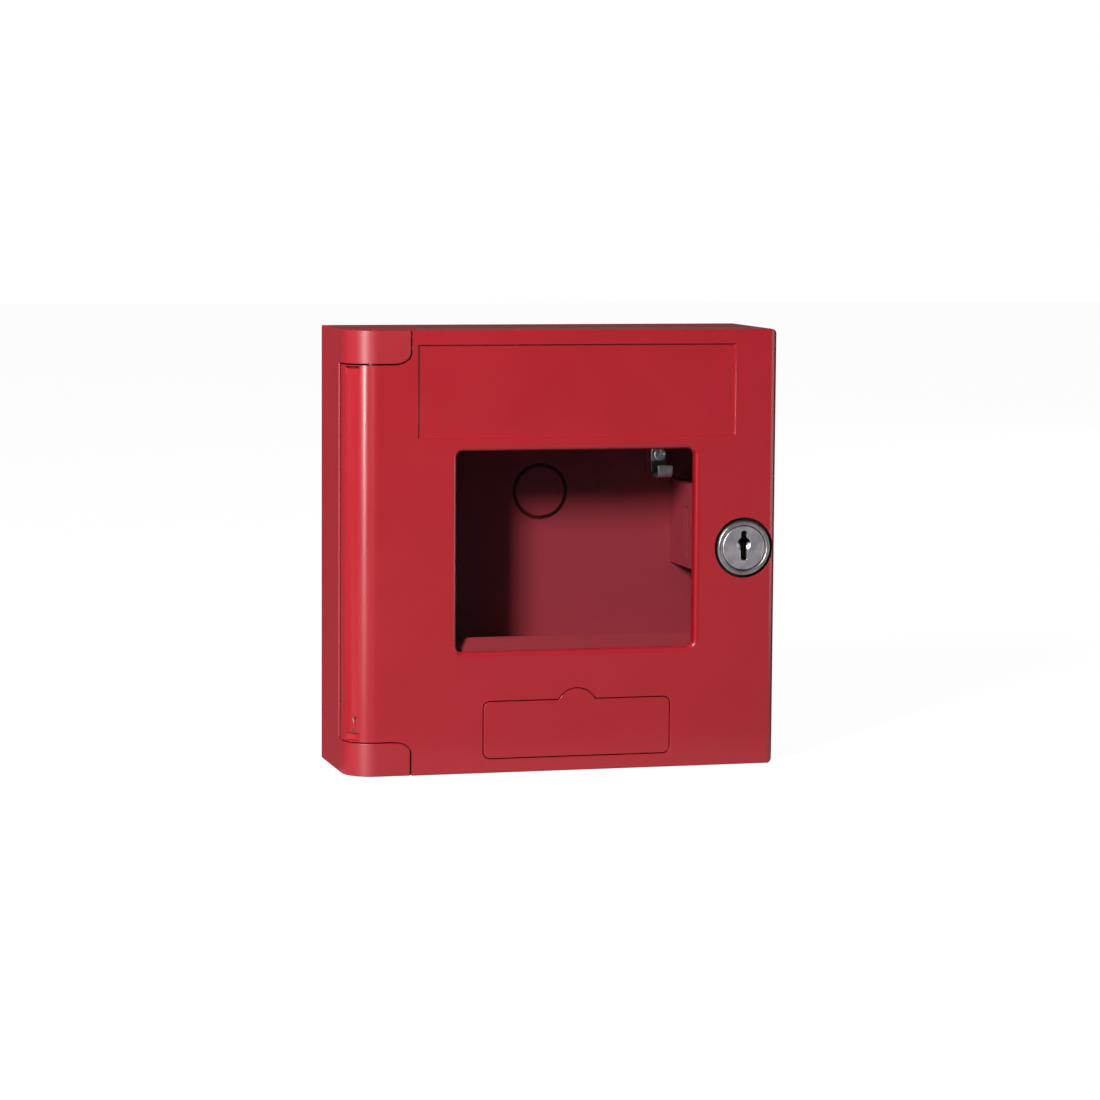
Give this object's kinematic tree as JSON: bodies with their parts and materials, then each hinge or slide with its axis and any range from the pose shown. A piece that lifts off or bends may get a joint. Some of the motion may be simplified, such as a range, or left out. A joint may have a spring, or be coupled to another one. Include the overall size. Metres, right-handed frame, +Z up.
{
  "type": "break glass key box",
  "caption": "Shallow square wall case for an emergency key, with a rounded hinged door, a breakable glass window, a cam lock and a key hook inside.",
  "frame": {"origin": "centre of the wall face, the flat back of the case", "axes": "+X to the right as seen from the front, +Y back into the wall, +Z up; the door's face is at negative Y"},
  "size_m": [0.138, 0.0415, 0.138],
  "materials": {
    "door_red": "satin",
    "case_red": "fine texture",
    "pane_glass": "clear",
    "lock_zinc": "satin nickel",
    "plug_zinc": "satin nickel, brushed",
    "spring_steel": "rolled",
    "zinc_steel": "bright zinc",
    "wafer_brass": "stamped"
  },
  "bodies": {
    "case": {"rear_case": "case_red", "hinge_pin_upper": "zinc_steel", "hinge_pin_lower": "zinc_steel", "key_hook": "spring_steel", "hook_screw": "zinc_steel"},
    "door_leaf": {"door": "door_red", "glass_pane": "pane_glass", "glass_screw_left": "zinc_steel", "glass_screw_right": "zinc_steel", "lock_housing": "lock_zinc", "lock_clip": "spring_steel"},
    "lock_barrel": {"lock_plug": "plug_zinc", "lock_wafers": "wafer_brass", "stop_washer": "zinc_steel", "lock_cam": "zinc_steel", "cam_washer": "zinc_steel", "cam_screw": "zinc_steel"},
    "clip_left": {"glass_clip_left": "spring_steel"},
    "clip_right": {"glass_clip_right": "spring_steel"},
    "cover": {"cover_plate": "door_red"}
  },
  "joints": [
    {"name": "door_hinge", "type": "hinge", "parent": "case", "child": "door_leaf", "pos_m": [-0.0594, -0.0314, 0], "axis": [0, 0, -1], "range_deg": [0, 120]},
    {"name": "lock_turn", "type": "hinge", "parent": "door_leaf", "child": "lock_barrel", "pos_m": [0.0584, -0.03, 0], "axis": [0, -1, 0], "range_deg": [0, 90]},
    {"name": "clip_left_turn", "type": "hinge", "parent": "door_leaf", "child": "clip_left", "pos_m": [-0.0222, -0.0362, 0.041], "axis": [0, 1, 0], "range_deg": [0, 90]},
    {"name": "clip_right_turn", "type": "hinge", "parent": "door_leaf", "child": "clip_right", "pos_m": [0.0298, -0.0362, 0.041], "axis": [0, -1, 0], "range_deg": [0, 90]},
    {"name": "cover_pull", "type": "slide", "parent": "door_leaf", "child": "cover", "axis": [0, -1, 0], "range_m": [0, 0.006]}
  ]
}
